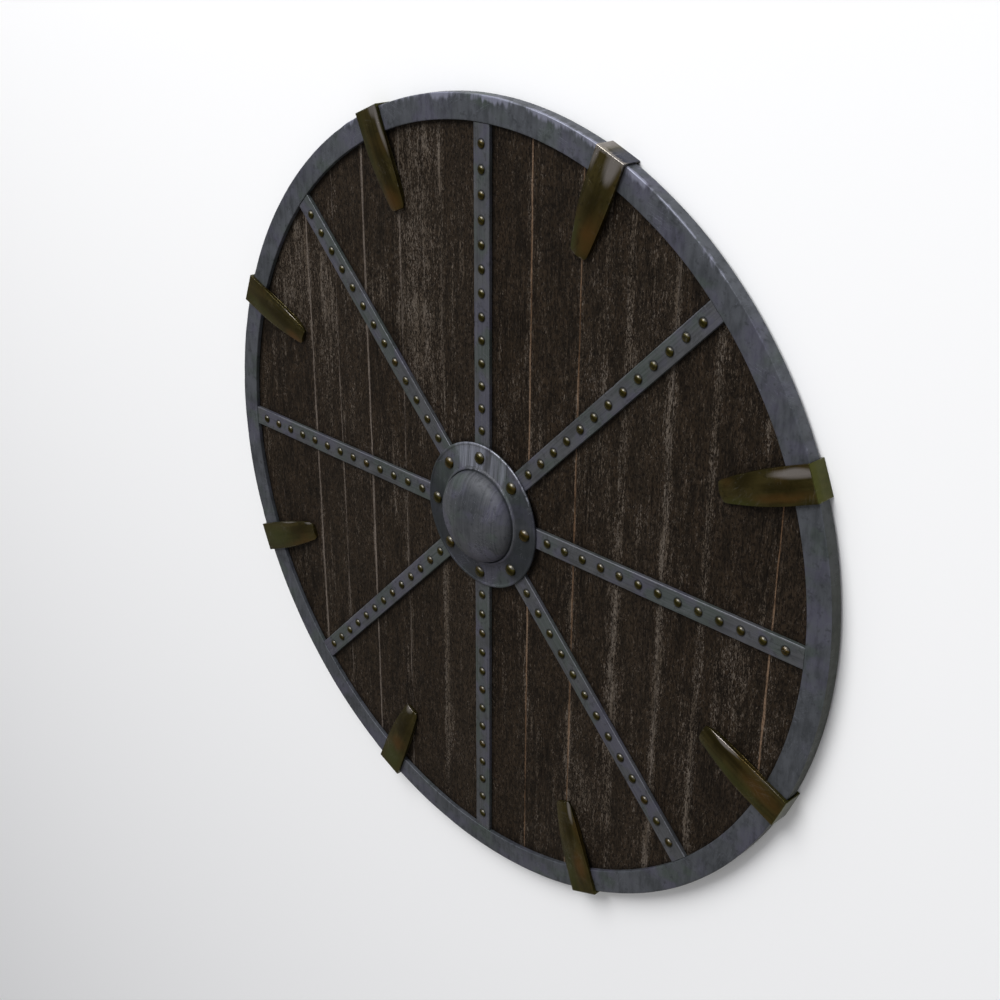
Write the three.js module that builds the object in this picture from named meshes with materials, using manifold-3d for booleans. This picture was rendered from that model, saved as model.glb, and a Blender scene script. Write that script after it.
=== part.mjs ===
// A round plank shield with a steel rim, riveted straps, a boss and brass rim clips.
// It lies on its back, boss up. Units are millimetres. The origin is under the middle
// of the boss, in the plane that the shield rests on. +Z is the way the boss points
// and +Y is the end of the shield that is carried upwards.
import * as THREE from 'three';
import { mergeVertices } from 'three/addons/utils/BufferGeometryUtils.js';
import Module from 'manifold-3d';

const wasm = await Module();
wasm.setup();

// Clearance between pieces that touch.
const GAP = 0.3;

// Rim: a channel ring that grips the edge of the board.
const RIM_RADIUS = 425;
const RIM_FACE = 25;
const RIM_BACK_Z = 2.5;
const RIM_FRONT_Z = 17.3;
const RIM_FRONT_LIP = 5.0;
const RIM_WEB = 4.5;
const RIM_BEVEL = 0.9;
const RIM_SEGMENTS = 80;

// Board: planks side by side, cut to a disc, with a hand hole in the middle.
const BOARD_RADIUS = RIM_RADIUS - RIM_WEB - 0.5;
const BOARD_FRONT_Z = RIM_FRONT_Z - RIM_FRONT_LIP - GAP;
const BOARD_THICKNESS = 7.2;
const BOARD_BACK_Z = BOARD_FRONT_Z - BOARD_THICKNESS;
const PLANK_WIDTHS = [63, 63, 59, 53, 48, 76, BOARD_RADIUS - 362];
const HAND_HOLE_RADIUS = 48;
const ARC_STEP = THREE.MathUtils.degToRad(4.5);

// Straps: flat bars on the front of the board, with a row of rivet heads.
const STRAP_COUNT = 8;
const STRAP_WIDTH = 21.4;
const STRAP_THICKNESS = 4.2;
const STRAP_INNER = 56;
const STRAP_BEVEL = 0.6;
const STRAP_BASE_Z = BOARD_FRONT_Z + GAP;
const STRAP_TOP_Z = STRAP_BASE_Z + STRAP_THICKNESS;
const RIVETS_PER_STRAP = 13;
const RIVET_FIRST_R = 94.3;
const RIVET_PITCH = 23.87;
const RIVET_RADIUS = 4.5;
const RIVET_HEIGHT = 2.9;

// Boss: a hollow pressing, with a shallow cone flange and a low dome.
const BOSS_RADIUS = 79.5;
const BOSS_BASE_Z = STRAP_TOP_Z + GAP;
const DOME_RADIUS = 49.4;
const DOME_BASE_Z = 23.0;
const DOME_TOP_Z = 43.7;
const BOSS_WALL = 2.0;
const BOSS_SEGMENTS = 48;
const BOSS_RIVET_COUNT = 8;
const BOSS_RIVET_R = 65.2;
const BOSS_RIVET_RADIUS = 6.6;
const BOSS_RIVET_HEIGHT = 4.2;
const FLANGE_EDGE_Z = 18.3;
const FLANGE_INNER_Z = 20.4;
const FLANGE_INNER_R = 54;
const FLANGE_OUTER_R = 76.2;

// Clips: brass plates folded round the rim, with a long crowned leaf on the front.
const CLIP_COUNT = 8;
const CLIP_WIDTH = 34;
const CLIP_OUTER = RIM_RADIUS + 2;
const CLIP_TIP = 323;
const CLIP_TOP_Z = 21.6;
const CLIP_TIP_Z = 16.0;
const CLIP_CROWN = 1.4;
const CLIP_BACK_END = 388;

// Grip: a flat bar across the back, with a rounded handle in the hand hole.
const GRIP_HALF_LENGTH = 252;
const GRIP_WIDTH = 24;
const GRIP_BACK_Z = 0.6;
const GRIP_TOP_Z = BOARD_BACK_Z - GAP;
const HANDLE_HALF_LENGTH = 43;
const HANDLE_TOP_Z = 13.4;

const steel = { color: 0x4b5058, roughness: 0.45, metalness: 1.0 };
const brass = { color: 0x6b5a2a, roughness: 0.3, metalness: 1.0 };
const wood = { color: 0x2e251d, roughness: 0.85, metalness: 0.0 };
const iron = { color: 0x35373a, roughness: 0.6, metalness: 1.0 };

const shield = new THREE.Group();

function addPiece(name, geometry, look, angle = 0) {
  const mesh = new THREE.Mesh(geometry, new THREE.MeshStandardMaterial(look));
  mesh.name = name;
  mesh.rotation.z = angle;
  shield.add(mesh);
  return mesh;
}

// Keep only positions and join equal vertices, so the body is one closed mesh.
function welded(geometry) {
  const copy = geometry.clone();
  copy.deleteAttribute('normal');
  copy.deleteAttribute('uv');
  return mergeVertices(copy, 1e-4);
}

function toSolid(geometry) {
  const mesh = welded(geometry);
  return new wasm.Manifold(new wasm.Mesh({
    numProp: 3,
    vertProperties: new Float32Array(mesh.attributes.position.array),
    triVerts: new Uint32Array(mesh.index.array),
  }));
}

function fromSolid(solid) {
  const mesh = solid.getMesh();
  const geometry = new THREE.BufferGeometry();
  geometry.setAttribute('position', new THREE.BufferAttribute(new Float32Array(mesh.vertProperties), 3));
  geometry.setIndex(new THREE.BufferAttribute(new Uint32Array(mesh.triVerts), 1));
  geometry.computeVertexNormals();
  return geometry;
}

// Turn a profile of [radius, z] pairs about the Z axis.
function turned(profile, segments) {
  const points = profile.map(([r, z]) => new THREE.Vector2(r, z));
  const geometry = new THREE.LatheGeometry(points, segments);
  geometry.rotateX(Math.PI / 2);
  return geometry;
}

// Extrude a flat outline, given as [x, y] pairs, from z = low to z = high.
function slab(outline, low, high) {
  const shape = new THREE.Shape(outline.map(([x, y]) => new THREE.Vector2(x, y)));
  const geometry = new THREE.ExtrudeGeometry(shape, { depth: high - low, bevelEnabled: false });
  geometry.translate(0, 0, low);
  return geometry;
}

// Extrude a side profile of [x, z] pairs across Y, from -1 to 1, in a number of steps.
function sideways(profile, steps) {
  const shape = new THREE.Shape(profile.map(([x, z]) => new THREE.Vector2(x, z)));
  const geometry = new THREE.ExtrudeGeometry(shape, { depth: 2, steps, bevelEnabled: false });
  geometry.translate(0, 0, -1);
  geometry.rotateX(Math.PI / 2);
  return geometry;
}

// Move every vertex by a function of its position.
function reshaped(geometry, move) {
  const position = geometry.attributes.position;
  const point = new THREE.Vector3();
  for (let i = 0; i < position.count; i += 1) {
    point.fromBufferAttribute(position, i);
    move(point);
    position.setXYZ(i, point.x, point.y, point.z);
  }
  return geometry;
}

// ---- Board ----

function discHeight(x) {
  return Math.sqrt(Math.max(0, BOARD_RADIUS ** 2 - x ** 2));
}

// Points of a circle between two angles, with both ends.
function arc(radius, from, to) {
  const steps = Math.max(1, Math.ceil(Math.abs(to - from) / ARC_STEP));
  return Array.from({ length: steps + 1 }, (_, i) => {
    const a = from + ((to - from) * i) / steps;
    return [radius * Math.cos(a), radius * Math.sin(a)];
  });
}

// One plank of the right half, between x = left and x = right.
function plankOutline(left, right) {
  const a = left + GAP / 2;
  const b = Math.min(right - GAP / 2, BOARD_RADIUS);
  const upperLeft = Math.atan2(discHeight(a), a);
  const upperRight = Math.atan2(discHeight(b), b);
  const outline = arc(BOARD_RADIUS, upperRight, upperLeft);
  if (a < HAND_HOLE_RADIUS) {
    const notch = Math.acos(a / HAND_HOLE_RADIUS);
    outline.push(...arc(HAND_HOLE_RADIUS, notch, -notch));
  }
  outline.push(...arc(BOARD_RADIUS, -upperLeft, -upperRight));
  if (upperRight < 1e-6) {
    outline.pop();
  }
  return outline;
}

let edge = 0;
PLANK_WIDTHS.forEach((width, i) => {
  const outline = plankOutline(edge, edge + width);
  const plank = slab(outline, BOARD_BACK_Z, BOARD_FRONT_Z);
  addPiece(`plank_right_${i + 1}`, welded(plank), wood);
  addPiece(`plank_left_${i + 1}`, welded(plank), wood, Math.PI);
  edge += width;
});

// ---- Rim ----

const rimInner = RIM_RADIUS - RIM_FACE;
const groove = RIM_RADIUS - RIM_WEB;
const rim = turned([
  [rimInner, RIM_BACK_Z],
  [RIM_RADIUS, RIM_BACK_Z],
  [RIM_RADIUS, RIM_FRONT_Z - RIM_BEVEL],
  [RIM_RADIUS - RIM_BEVEL, RIM_FRONT_Z],
  [rimInner + RIM_BEVEL, RIM_FRONT_Z],
  [rimInner, RIM_FRONT_Z - RIM_BEVEL],
  [rimInner, RIM_FRONT_Z - RIM_FRONT_LIP],
  [groove, RIM_FRONT_Z - RIM_FRONT_LIP],
  [groove, BOARD_BACK_Z - GAP],
  [rimInner, BOARD_BACK_Z - GAP],
  [rimInner, RIM_BACK_Z],
], RIM_SEGMENTS);
addPiece('rim', welded(rim), steel);

// ---- Straps and their rivets ----

// A rivet head standing on z = 0, let a little way into the strap below it.
function rivetHead(radius, height, sides, sink) {
  return turned([
    [0, -sink],
    [radius, -sink],
    [radius * 0.76, height * 0.66],
    [0, height],
  ], sides);
}

const strapEnd = rimInner - 0.5;
const halfStrap = STRAP_WIDTH / 2;
const strapBar = new THREE.Shape([
  new THREE.Vector2(-halfStrap, 0),
  new THREE.Vector2(halfStrap, 0),
  new THREE.Vector2(halfStrap, STRAP_THICKNESS - STRAP_BEVEL),
  new THREE.Vector2(halfStrap - STRAP_BEVEL, STRAP_THICKNESS),
  new THREE.Vector2(-halfStrap + STRAP_BEVEL, STRAP_THICKNESS),
  new THREE.Vector2(-halfStrap, STRAP_THICKNESS - STRAP_BEVEL),
]);
const barGeometry = new THREE.ExtrudeGeometry(strapBar, {
  depth: strapEnd - STRAP_INNER,
  bevelEnabled: false,
});
barGeometry.rotateX(Math.PI / 2);
barGeometry.rotateZ(Math.PI / 2);
barGeometry.translate(STRAP_INNER, 0, STRAP_BASE_Z);

let strapSolid = toSolid(barGeometry);
for (let k = 0; k < RIVETS_PER_STRAP; k += 1) {
  const head = rivetHead(RIVET_RADIUS, RIVET_HEIGHT, 8, 0.4);
  head.translate(RIVET_FIRST_R + k * RIVET_PITCH, 0, STRAP_TOP_Z);
  strapSolid = strapSolid.add(toSolid(head));
}
const strapGeometry = fromSolid(strapSolid);
for (let i = 0; i < STRAP_COUNT; i += 1) {
  addPiece(`strap_${i + 1}`, strapGeometry, steel, (i * 2 * Math.PI) / STRAP_COUNT);
}

// ---- Boss ----

// Points on a quarter ellipse from the base circle up to the axis.
function dome(radius, base, top, steps) {
  return Array.from({ length: steps + 1 }, (_, i) => {
    const a = (Math.PI / 2) * (i / steps);
    return [i === steps ? 0 : radius * Math.cos(a), base + (top - base) * Math.sin(a)];
  });
}

const innerDome = dome(DOME_RADIUS - BOSS_WALL, DOME_BASE_Z - 1.5, DOME_TOP_Z - BOSS_WALL, 4);
const boss = turned([
  ...innerDome.reverse(),
  [DOME_RADIUS - BOSS_WALL, BOSS_BASE_Z],
  [BOSS_RADIUS, BOSS_BASE_Z],
  [BOSS_RADIUS, FLANGE_EDGE_Z],
  [BOSS_RADIUS - 0.8, FLANGE_EDGE_Z + 0.8],
  [BOSS_RADIUS - 2.4, FLANGE_EDGE_Z + 0.8],
  [FLANGE_OUTER_R, FLANGE_EDGE_Z + 0.1],
  [FLANGE_INNER_R, FLANGE_INNER_Z],
  [DOME_RADIUS + 2.0, FLANGE_INNER_Z + 1.2],
  [DOME_RADIUS + 0.8, DOME_BASE_Z],
  ...dome(DOME_RADIUS, DOME_BASE_Z, DOME_TOP_Z, 6),
], BOSS_SEGMENTS);
addPiece('boss', welded(boss), steel);

const flangeRise = FLANGE_INNER_Z - FLANGE_EDGE_Z - 0.1;
const flangeSlope = Math.atan2(flangeRise, FLANGE_OUTER_R - FLANGE_INNER_R);
const flangeAtRivet = FLANGE_EDGE_Z + 0.1 + Math.tan(flangeSlope) * (FLANGE_OUTER_R - BOSS_RIVET_R);
for (let i = 0; i < BOSS_RIVET_COUNT; i += 1) {
  const head = rivetHead(BOSS_RIVET_RADIUS, BOSS_RIVET_HEIGHT, 10, 0);
  head.rotateY(flangeSlope);
  head.translate(BOSS_RIVET_R, 0, flangeAtRivet + GAP);
  addPiece(`boss_rivet_${i + 1}`, welded(head), brass, (i * 2 * Math.PI) / BOSS_RIVET_COUNT);
}

// ---- Clips ----

// Height of the front leaf at a distance from the middle of the shield: level over
// the rim, then a bow down to the tip that lies on the board.
function leafTop(r) {
  const u = Math.min(1, Math.max(0, (r - CLIP_TIP) / (rimInner - CLIP_TIP)));
  return CLIP_TIP_Z + (CLIP_TOP_Z - CLIP_TIP_Z) * Math.sin((u * Math.PI) / 2);
}

// Width of the leaf: full over the rim, an arch towards the blunt tip.
function leafWidth(r) {
  const u = Math.min(1, Math.max(0, (r - CLIP_TIP) / (rimInner - CLIP_TIP)));
  const taper = 0.6 + 0.4 * Math.sin((u * Math.PI) / 2);
  const blunt = Math.min(1, 0.8 + (0.2 * (r - CLIP_TIP)) / 4);
  return CLIP_WIDTH * taper * blunt;
}

const leafStations = [CLIP_TIP, CLIP_TIP + 4, 342, 358, 374, 388, rimInner];
const clipProfile = [
  [CLIP_OUTER, 0],
  [CLIP_OUTER, CLIP_TOP_Z - 0.6],
  [CLIP_OUTER - 0.6, CLIP_TOP_Z],
  ...leafStations.map((r) => [r, leafTop(r)]).reverse(),
  [CLIP_TIP, BOARD_FRONT_Z + GAP],
  [CLIP_TIP + 20, BOARD_FRONT_Z + GAP],
  [rimInner - 1, RIM_FRONT_Z + GAP],
  [RIM_RADIUS + GAP, RIM_FRONT_Z + GAP],
  [RIM_RADIUS + GAP, RIM_BACK_Z - GAP],
  [CLIP_BACK_END, RIM_BACK_Z - GAP],
  [CLIP_BACK_END, 0],
];
const clip = reshaped(sideways(clipProfile, 4), (point) => {
  const across = point.y;
  const onTop = Math.abs(point.z - leafTop(point.x)) < 1e-3 && point.z > RIM_FRONT_Z - 2;
  const crown = Math.min(1, Math.max(0, (CLIP_OUTER - 0.6 - point.x) / 25));
  if (onTop) {
    point.z += CLIP_CROWN * crown * (0.4 - across * across);
  }
  point.y = (across * leafWidth(point.x)) / 2;
});
for (let i = 0; i < CLIP_COUNT; i += 1) {
  addPiece(`clip_${i + 1}`, welded(clip), brass, ((i + 0.5) * 2 * Math.PI) / CLIP_COUNT);
}

// ---- Grip ----

const handleShoulder = HANDLE_HALF_LENGTH - 10;
const gripProfile = [
  [-GRIP_HALF_LENGTH, GRIP_BACK_Z],
  [-HANDLE_HALF_LENGTH, GRIP_BACK_Z],
  [-handleShoulder, GRIP_BACK_Z],
  [handleShoulder, GRIP_BACK_Z],
  [HANDLE_HALF_LENGTH, GRIP_BACK_Z],
  [GRIP_HALF_LENGTH, GRIP_BACK_Z],
  [GRIP_HALF_LENGTH, GRIP_TOP_Z],
  [HANDLE_HALF_LENGTH, GRIP_TOP_Z],
  [handleShoulder, HANDLE_TOP_Z],
  [-handleShoulder, HANDLE_TOP_Z],
  [-HANDLE_HALF_LENGTH, GRIP_TOP_Z],
  [-GRIP_HALF_LENGTH, GRIP_TOP_Z],
];
const handleMiddle = (HANDLE_TOP_Z + GRIP_BACK_Z) / 2;
const grip = reshaped(sideways(gripProfile, 6), (point) => {
  const across = point.y;
  if (Math.abs(point.x) <= handleShoulder + 0.01) {
    const a = (across * Math.PI) / 2.6;
    point.z = handleMiddle + (point.z - handleMiddle) * Math.cos(a);
    point.y = (GRIP_WIDTH / 2) * (Math.sin(a) / Math.sin(Math.PI / 2.6));
  } else {
    point.y = (across * GRIP_WIDTH) / 2;
  }
});
addPiece('grip', welded(grip), iron);

export default shield;
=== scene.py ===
import math
import random

import bpy
from mathutils import Matrix, Vector, noise


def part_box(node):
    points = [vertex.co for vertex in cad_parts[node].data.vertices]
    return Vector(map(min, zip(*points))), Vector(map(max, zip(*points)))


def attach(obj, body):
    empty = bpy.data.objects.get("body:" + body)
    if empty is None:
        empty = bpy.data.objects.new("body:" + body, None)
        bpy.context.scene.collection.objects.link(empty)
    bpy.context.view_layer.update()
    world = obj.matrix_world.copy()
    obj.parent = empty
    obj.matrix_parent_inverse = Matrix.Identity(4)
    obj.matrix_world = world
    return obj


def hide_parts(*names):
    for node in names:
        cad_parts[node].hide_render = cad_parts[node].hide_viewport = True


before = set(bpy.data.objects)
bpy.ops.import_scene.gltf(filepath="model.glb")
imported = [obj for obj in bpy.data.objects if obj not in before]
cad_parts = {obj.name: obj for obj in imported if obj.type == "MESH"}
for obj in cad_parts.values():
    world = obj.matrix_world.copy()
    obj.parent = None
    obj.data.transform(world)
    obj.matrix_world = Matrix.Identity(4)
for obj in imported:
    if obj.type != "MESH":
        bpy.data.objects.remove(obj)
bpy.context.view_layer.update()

MM = 0.001

# ---------------------------------------------------------------- sizes from the frame (millimetres)


def span(node):
    low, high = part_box(node)
    return [c * 1000 for c in low], [c * 1000 for c in high]


rim_low, rim_high = span("rim")
RIM_R = rim_high[0]
RIM_FRONT = rim_high[2]
RIM_BACK = rim_low[2]
RIM_IN = RIM_R - 25.0
plank_low, plank_high = span("plank_right_1")
BOARD_FRONT = plank_high[2]
BOARD_BACK = plank_low[2]
BOARD_R = span("plank_right_7")[1][0]
strap_low, strap_high = span("strap_1")
STRAP_BASE = strap_low[2]
STRAP_TOP = STRAP_BASE + 4.2
STRAP_IN = strap_low[0]
STRAP_OUT = strap_high[0]
STRAP_HALF = strap_high[1]
boss_low, boss_high = span("boss")
BOSS_R = boss_high[0]
BOSS_BASE = boss_low[2]
BOSS_TOP = boss_high[2]
DOME_R = 49.4
DOME_BASE = 23.0
HAND_R = 48.0
RIVETS = 13
RIVET_FIRST = 94.3
RIVET_PITCH = 23.87
RIVET_R = 4.5
RIVET_H = 2.9
BOSS_RIVET_AT = 65.2
BOSS_RIVET_R = 6.6
BOSS_RIVET_H = 4.2
FLANGE_SLOPE = math.atan2(2.0, 22.2)
CLIP_OUT = RIM_R + 2.0
CLIP_TIP = 323.0
CLIP_TOP = 21.6
CLIP_TIP_Z = 16.0
grip_low, grip_high = span("grip")

# ---------------------------------------------------------------- camera

camera_data = bpy.data.cameras.new("camera")
camera_data.lens = 50
camera_data.sensor_width = 36
camera_data.clip_start = 0.05
camera_data.clip_end = 100
camera = bpy.data.objects.new("camera", camera_data)
bpy.context.scene.collection.objects.link(camera)
right = Vector((0.69660, 0.00318, -0.71745)).normalized()
back = Vector((0.65112, 0.41715, 0.63405)).normalized()
up = back.cross(right).normalized()
right = up.cross(back).normalized()
pose = Matrix((right, up, back)).transposed().to_4x4()
pose.translation = Vector((0.95044, 0.61779, 0.91596))
camera.matrix_world = pose
bpy.context.scene.camera = camera
bpy.context.scene.view_settings.view_transform = "Standard"

# ---------------------------------------------------------------- node helpers


class Maker:
    """Builds one material out of nodes."""

    def __init__(self, name):
        self.material = bpy.data.materials.new(name)
        self.material.use_nodes = True
        self.tree = self.material.node_tree
        self.shader = self.tree.nodes["Principled BSDF"]

    def node(self, kind, **settings):
        made = self.tree.nodes.new(kind)
        for key, value in settings.items():
            setattr(made, key, value)
        return made

    def put(self, socket, value):
        if hasattr(value, "is_output"):
            self.tree.links.new(value, socket)
        elif value is not None:
            socket.default_value = value

    def attribute(self, name, what="Fac"):
        made = self.node("ShaderNodeAttribute", attribute_name=name)
        return made.outputs[what]

    def scaled(self, vector, scale, offset=(0, 0, 0)):
        made = self.node("ShaderNodeMapping")
        made.inputs["Scale"].default_value = scale
        made.inputs["Location"].default_value = offset
        self.put(made.inputs["Vector"], vector)
        return made.outputs[0]

    def noise(self, vector, detail=4.0, rough=0.55, scale=1.0, distortion=0.0):
        made = self.node("ShaderNodeTexNoise")
        self.put(made.inputs["Vector"], vector)
        made.inputs["Scale"].default_value = scale
        made.inputs["Detail"].default_value = detail
        made.inputs["Roughness"].default_value = rough
        made.inputs["Distortion"].default_value = distortion
        return made.outputs["Fac"]

    def cells(self, vector, feature="F1"):
        made = self.node("ShaderNodeTexVoronoi", feature=feature)
        self.put(made.inputs["Vector"], vector)
        made.inputs["Scale"].default_value = 1.0
        return made.outputs["Distance"]

    def between(self, value, low, high, out_low=0.0, out_high=1.0):
        """value from low..high to out_low..out_high, smooth and clamped."""
        made = self.node("ShaderNodeMapRange", interpolation_type="SMOOTHSTEP")
        self.put(made.inputs["Value"], value)
        made.inputs["From Min"].default_value = low
        made.inputs["From Max"].default_value = high
        made.inputs["To Min"].default_value = out_low
        made.inputs["To Max"].default_value = out_high
        return made.outputs[0]

    def sums(self, kind, a, b=None, c=None):
        made = self.node("ShaderNodeMath", operation=kind)
        for socket, value in zip(made.inputs, (a, b, c)):
            self.put(socket, value)
        return made.outputs[0]

    def blend(self, share, a, b, kind="MIX"):
        made = self.node("ShaderNodeMix", data_type="RGBA", blend_type=kind)
        self.put(made.inputs["Factor"], share)
        for socket, value in ((made.inputs[6], a), (made.inputs[7], b)):
            self.put(socket, (*value, 1.0) if isinstance(value, tuple) else value)
        return made.outputs[2]

    def bump(self, height, distance, strength=1.0, below=None):
        made = self.node("ShaderNodeBump")
        made.inputs["Strength"].default_value = strength
        made.inputs["Distance"].default_value = distance
        self.put(made.inputs["Height"], height)
        if below is not None:
            self.put(made.inputs["Normal"], below)
        return made.outputs[0]

    def parts(self, vector):
        made = self.node("ShaderNodeSeparateXYZ")
        self.put(made.inputs[0], vector)
        return made.outputs


# ---------------------------------------------------------------- materials


def wood_material():
    m = Maker("weathered_oak")
    flow = m.attribute("flow", "Vector")
    pale = m.attribute("pale")
    tan_edge = m.attribute("tan_edge")
    grey_edge = m.attribute("grey_edge")
    ash_line = m.attribute("ash_line")
    tone = m.attribute("tone")
    # Brown heartwood, uneven from plank to plank and along each plank.
    cloud = m.noise(m.scaled(flow, (75, 24, 20)), 4, 0.6)
    grain = m.noise(m.scaled(flow, (310, 42, 30), (3, 1, 2)), 5, 0.65, distortion=0.6)
    pits = m.noise(m.scaled(flow, (520, 190, 90), (4, 2, 8)), 3, 0.6)
    fleck = m.noise(m.scaled(flow, (880, 230, 90), (1, 9, 4)), 2, 0.6, distortion=1.1)
    streak = m.noise(m.scaled(flow, (120, 7, 30), (7, 5, 1)), 4, 0.6)
    blotch = m.noise(m.scaled(flow, (16, 8, 14), (2, 2, 2)), 3, 0.5)
    colour = m.blend(m.between(cloud, 0.36, 0.64), (0.0088, 0.0060, 0.0037), (0.0200, 0.0132, 0.0078))
    colour = m.blend(m.sums("MULTIPLY", m.between(tone, 0.0, 1.0), 0.6), colour, (0.0250, 0.0180, 0.0120))
    colour = m.blend(m.between(grain, 0.46, 0.66, 0.0, 0.55), colour, (0.038, 0.0255, 0.0160))
    hollows = m.between(pits, 0.50, 0.40)
    colour = m.blend(m.sums("MULTIPLY", hollows, 0.8), colour, (0.0050, 0.0034, 0.0023))
    # Dry, bleached fibres: short flecks, thick where the surface is worn.
    density = m.sums("MULTIPLY_ADD", pale, 0.62, m.sums("MULTIPLY", grey_edge, 0.85))
    density = m.sums("ADD", density, m.between(streak, 0.52, 0.72, 0.0, 0.42))
    density = m.sums("ADD", density, m.between(blotch, 0.45, 0.75, 0.0, 0.30))
    drift = m.sums("MULTIPLY_ADD", grain, 0.30, m.sums("MULTIPLY", fleck, 0.70))
    dry = m.between(m.sums("MULTIPLY_ADD", density, 0.22, drift), 0.60, 0.665)
    pale_wood = m.blend(m.between(cloud, 0.4, 0.62), (0.085, 0.066, 0.048), (0.135, 0.112, 0.090))
    colour = m.blend(m.sums("MULTIPLY", dry, 0.80), colour, pale_wood)
    # Fine curling hairs of raised grain.
    curl = m.noise(m.scaled(flow, (300, 150, 60), (6, 3, 3)), 3, 0.55, distortion=0.8)
    hair = m.between(m.sums("ABSOLUTE", m.sums("SUBTRACT", curl, 0.5)), 0.004, 0.020, 1.0, 0.0)
    where = m.between(m.noise(m.scaled(flow, (170, 90, 60), (8, 8, 3)), 3, 0.6), 0.50, 0.60)
    hair = m.sums("MULTIPLY", hair, m.sums("MULTIPLY", where, m.between(density, 0.0, 0.6, 0.35, 0.85)))
    colour = m.blend(hair, colour, (0.105, 0.082, 0.062))
    # Raw tan wood along some plank edges, in a broken thin line.
    ragged = m.noise(m.scaled(flow, (420, 34, 60), (5, 5, 5)), 5, 0.75)
    gone = m.noise(m.scaled(flow, (60, 9, 40), (3, 7, 5)), 3, 0.6)
    ragged = m.sums("MULTIPLY_ADD", gone, 0.45, m.sums("MULTIPLY", ragged, 0.55))
    tan_on = m.between(m.sums("MULTIPLY_ADD", tan_edge, 0.50, ragged), 0.70, 0.86)
    tan_wood = m.blend(m.between(gone, 0.42, 0.60), (0.165, 0.094, 0.052), (0.240, 0.160, 0.105))
    colour = m.blend(m.sums("MULTIPLY", tan_on, 0.85), colour, tan_wood)
    ash_on = m.between(m.sums("MULTIPLY_ADD", ash_line, 0.50, ragged), 0.68, 0.84)
    colour = m.blend(m.sums("MULTIPLY", ash_on, 0.85), colour, (0.165, 0.135, 0.112))
    # Drying cracks.
    crack = m.noise(m.scaled(flow, (260, 3.0, 30), (9, 9, 1)), 3, 0.55)
    cracks = m.between(m.sums("ABSOLUTE", m.sums("SUBTRACT", crack, 0.5)), 0.0, 0.010, 1.0, 0.0)
    cracks = m.sums("MULTIPLY", cracks, m.between(m.noise(m.scaled(flow, (24, 5, 9), (1, 6, 3)), 2), 0.54, 0.62))
    colour = m.blend(m.sums("MULTIPLY", cracks, 0.8), colour, (0.005, 0.0036, 0.0028))
    # Darker in a band beside the straps, rim and boss.
    colour = m.blend(m.sums("MULTIPLY", m.attribute("darker_near_metal"), 0.55), colour, (0.007, 0.0055, 0.0042))
    m.put(m.shader.inputs["Base Color"], colour)
    m.put(m.shader.inputs["Roughness"], m.between(dry, 0.0, 1.0, 0.55, 0.85))
    m.shader.inputs["Specular IOR Level"].default_value = 0.08
    height = m.sums("MULTIPLY_ADD", dry, 0.35, m.sums("MULTIPLY", grain, 0.6))
    height = m.sums("MULTIPLY_ADD", fleck, 0.5, height)
    height = m.sums("SUBTRACT", height, m.sums("MULTIPLY", hollows, 0.5))
    height = m.sums("SUBTRACT", height, cracks)
    m.put(m.shader.inputs["Normal"], m.bump(height, 0.0011, 1.0))
    return m.material


def shade(colour, by):
    return tuple(min(1.0, c * by) for c in colour)


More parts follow.
